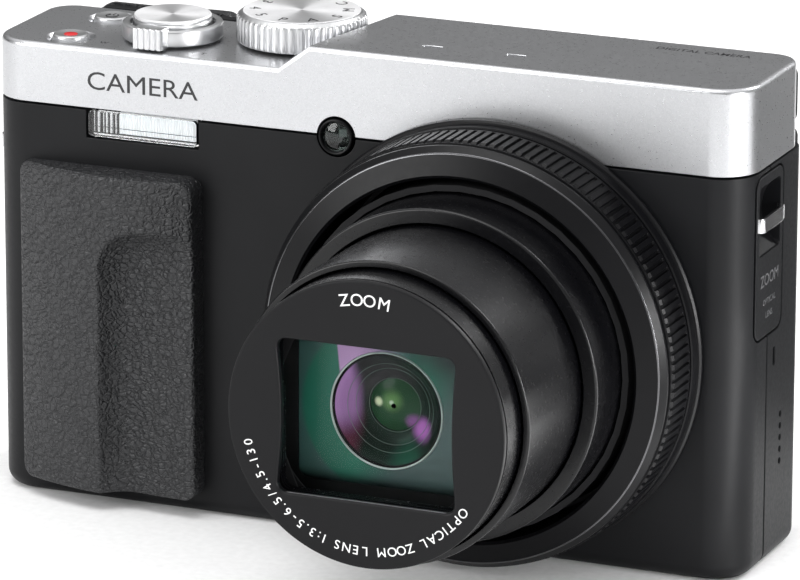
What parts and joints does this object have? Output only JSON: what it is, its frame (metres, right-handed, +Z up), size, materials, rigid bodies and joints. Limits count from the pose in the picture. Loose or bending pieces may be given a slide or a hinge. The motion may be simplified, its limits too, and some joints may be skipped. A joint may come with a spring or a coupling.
{
  "type": "compact digital camera",
  "caption": "Pocket camera with a telescoping zoom lens, grip, top dials, viewfinder and a screen that flips up; lens, barrier, doors, dials and buttons move.",
  "frame": {"origin": "on the base plane, under the middle of the overall box with the lens extended", "axes": "+X to the right seen from the front, +Y from the lens towards the screen, +Z up"},
  "size_m": [0.112, 0.0716, 0.0691],
  "materials": {
    "silver_cover": "satin silver paint on a metal cover",
    "black_shell": "fine matte black paint",
    "grip_leatherette": "leather-grained rubber",
    "lens_black": "satin black glass-filled barrel",
    "ring_black": "satin black",
    "control_metal": "turned and anodised",
    "steel": "satin steel",
    "reflector": "bright metallised",
    "clear_window": "clear moulded window",
    "coated_glass": "multi-coated optical glass",
    "inner_plastic": "moulded",
    "circuit_board": "solder mask",
    "cell_label": "printed film over a metal can",
    "screen_black": "glossy cover glass over a black panel"
  },
  "bodies": {
    "body": {"front_cover": "black_shell", "rear_cover": "black_shell", "top_cover": "silver_cover", "grip_pad": "grip_leatherette", "thumb_rest": "grip_leatherette", "flash_window": "clear_window", "flash_reflector": "reflector", "focus_lamp_bezel": "ring_black", "focus_lamp_lens": "coated_glass", "lens_housing": "inner_plastic", "lens_flange_ring": "ring_black", "rear_lens_group": "coated_glass", "image_sensor": "coated_glass", "main_board": "circuit_board", "zoom_motor": "steel", "strap_plate_right": "black_shell", "strap_lug_right": "steel", "strap_plate_left": "black_shell", "strap_lug_left": "steel", "battery_compartment": "inner_plastic", "battery": "cell_label", "memory_card": "cell_label", "battery_door_pin": "steel", "tripod_socket": "steel", "usb_socket": "steel", "hdmi_socket": "steel", "screen_hinge_bracket": "steel", "screen_hinge_pin": "steel", "viewfinder_block": "black_shell", "viewfinder_eyecup": "grip_leatherette", "viewfinder_lens": "coated_glass"},
    "control_ring": {"control_ring": "ring_black"},
    "lens_outer": {"barrel_outer": "lens_black"},
    "lens_middle": {"barrel_middle": "lens_black"},
    "lens_inner": {"barrel_inner": "lens_black", "name_ring": "lens_black", "front_element": "coated_glass", "lens_baffle": "inner_plastic", "second_element": "coated_glass"},
    "barrier_upper_main": {"barrier_upper_main": "lens_black"},
    "barrier_lower_main": {"barrier_lower_main": "lens_black"},
    "barrier_upper_side": {"barrier_upper_side": "lens_black"},
    "barrier_lower_side": {"barrier_lower_side": "lens_black"},
    "zoom_pinion": {"zoom_pinion": "steel"},
    "shutter_button": {"shutter_button": "control_metal"},
    "zoom_lever": {"zoom_lever": "control_metal"},
    "mode_dial": {"mode_dial": "control_metal"},
    "record_button": {"record_button": "control_metal"},
    "power_button": {"power_button": "control_metal"},
    "battery_door": {"battery_door": "black_shell"},
    "battery_door_latch": {"battery_door_latch": "black_shell"},
    "terminal_door": {"terminal_door": "black_shell"},
    "screen": {"screen_frame": "black_shell", "lcd_panel": "screen_black", "screen_glass": "screen_black"},
    "rear_dial": {"rear_dial": "ring_black"},
    "menu_button": {"menu_button": "ring_black"},
    "playback_button": {"playback_button": "ring_black"},
    "function_button": {"function_button": "ring_black"},
    "display_button": {"display_button": "ring_black"}
  },
  "joints": [
    {"name": "control_ring_turn", "type": "hinge", "parent": "body", "child": "control_ring", "pos_m": [0.01967, -0.00035, 0.03063], "axis": [0, -1, 0], "continuous": true},
    {"name": "lens_extend", "type": "slide", "parent": "body", "child": "lens_outer", "axis": [0, 1, 0], "range_m": [0, 0.0078]},
    {"name": "lens_middle_extend", "type": "slide", "parent": "lens_outer", "child": "lens_middle", "axis": [0, 1, 0], "range_m": [0, 0.0175]},
    {"name": "lens_inner_extend", "type": "slide", "parent": "lens_middle", "child": "lens_inner", "axis": [0, 1, 0], "range_m": [0, 0.0056]},
    {"name": "barrier_close", "type": "hinge", "parent": "lens_inner", "child": "barrier_upper_main", "pos_m": [0.00407, -0.03435, 0.03633], "axis": [0, 1, 0], "range_deg": [0, 37]},
    {"name": "barrier_lower_main_close", "type": "hinge", "parent": "lens_inner", "child": "barrier_lower_main", "pos_m": [0.03527, -0.03435, 0.02493], "axis": [0, 1, 0], "range_deg": [0, 37]},
    {"name": "barrier_upper_side_close", "type": "hinge", "parent": "lens_inner", "child": "barrier_upper_side", "pos_m": [0.00597, -0.03435, 0.02273], "axis": [0, 1, 0], "range_deg": [0, 22]},
    {"name": "barrier_lower_side_close", "type": "hinge", "parent": "lens_inner", "child": "barrier_lower_side", "pos_m": [0.03337, -0.03435, 0.03853], "axis": [0, 1, 0], "range_deg": [0, 22]},
    {"name": "zoom_pinion_turn", "type": "hinge", "parent": "body", "child": "zoom_pinion", "pos_m": [-0.0076, 0.02135, 0.0476], "axis": [0, 1, 0], "range_deg": [0, 725]},
    {"name": "shutter_press", "type": "slide", "parent": "body", "child": "shutter_button", "axis": [0, 0, -1], "range_m": [0, 0.0008], "stiffness_N_per_m": 400},
    {"name": "zoom_lever_turn", "type": "hinge", "parent": "body", "child": "zoom_lever", "pos_m": [-0.0317, 0.01715, 0.066], "axis": [0, 0, 1], "range_deg": [-22, 22], "stiffness_Nm_per_rad": 0.02},
    {"name": "mode_dial_turn", "type": "hinge", "parent": "body", "child": "mode_dial", "pos_m": [-0.0146, 0.02205, 0.067], "axis": [0, 0, 1], "continuous": true},
    {"name": "record_press", "type": "slide", "parent": "body", "child": "record_button", "axis": [0, 0, -1], "range_m": [0, 0.0005], "stiffness_N_per_m": 400},
    {"name": "power_press", "type": "slide", "parent": "body", "child": "power_button", "axis": [0, 0, -1], "range_m": [0, 0.0005], "stiffness_N_per_m": 400},
    {"name": "battery_door_swing", "type": "hinge", "parent": "body", "child": "battery_door", "pos_m": [-0.01135, 0.01795, 0.0009], "axis": [0, -1, 0], "range_deg": [0, 100]},
    {"name": "battery_latch_slide", "type": "slide", "parent": "battery_door", "child": "battery_door_latch", "axis": [-1, 0, 0], "range_m": [0, 0.0016]},
    {"name": "terminal_door_swing", "type": "hinge", "parent": "body", "child": "terminal_door", "pos_m": [-0.05445, 0.0268, 0.0185], "axis": [0, 0, -1], "range_deg": [0, 110]},
    {"name": "screen_tilt", "type": "hinge", "parent": "body", "child": "screen", "pos_m": [0.01325, 0.03505, 0.0569], "axis": [1, 0, 0], "range_deg": [0, 180]},
    {"name": "rear_dial_turn", "type": "hinge", "parent": "body", "child": "rear_dial", "pos_m": [-0.0405, 0.03265, 0.0265], "axis": [0, 1, 0], "continuous": true},
    {"name": "menu_press", "type": "slide", "parent": "body", "child": "menu_button", "axis": [0, -1, 0], "range_m": [0, 0.0003], "stiffness_N_per_m": 300},
    {"name": "playback_press", "type": "slide", "parent": "body", "child": "playback_button", "axis": [0, -1, 0], "range_m": [0, 0.0003], "stiffness_N_per_m": 300},
    {"name": "function_press", "type": "slide", "parent": "body", "child": "function_button", "axis": [0, -1, 0], "range_m": [0, 0.0003], "stiffness_N_per_m": 300},
    {"name": "display_press", "type": "slide", "parent": "body", "child": "display_button", "axis": [0, -1, 0], "range_m": [0, 0.0003], "stiffness_N_per_m": 300}
  ],
  "couplings": [
    {"joint": "lens_middle_extend", "follows": "lens_extend", "ratio": 2.2435},
    {"joint": "lens_inner_extend", "follows": "lens_extend", "ratio": 0.7179},
    {"joint": "zoom_pinion_turn", "follows": "lens_extend", "rad_per_m": 1611},
    {"joint": "barrier_lower_main_close", "follows": "barrier_close", "ratio": 1},
    {"joint": "barrier_upper_side_close", "follows": "barrier_close", "ratio": 0.5945},
    {"joint": "barrier_lower_side_close", "follows": "barrier_close", "ratio": 0.5945}
  ]
}
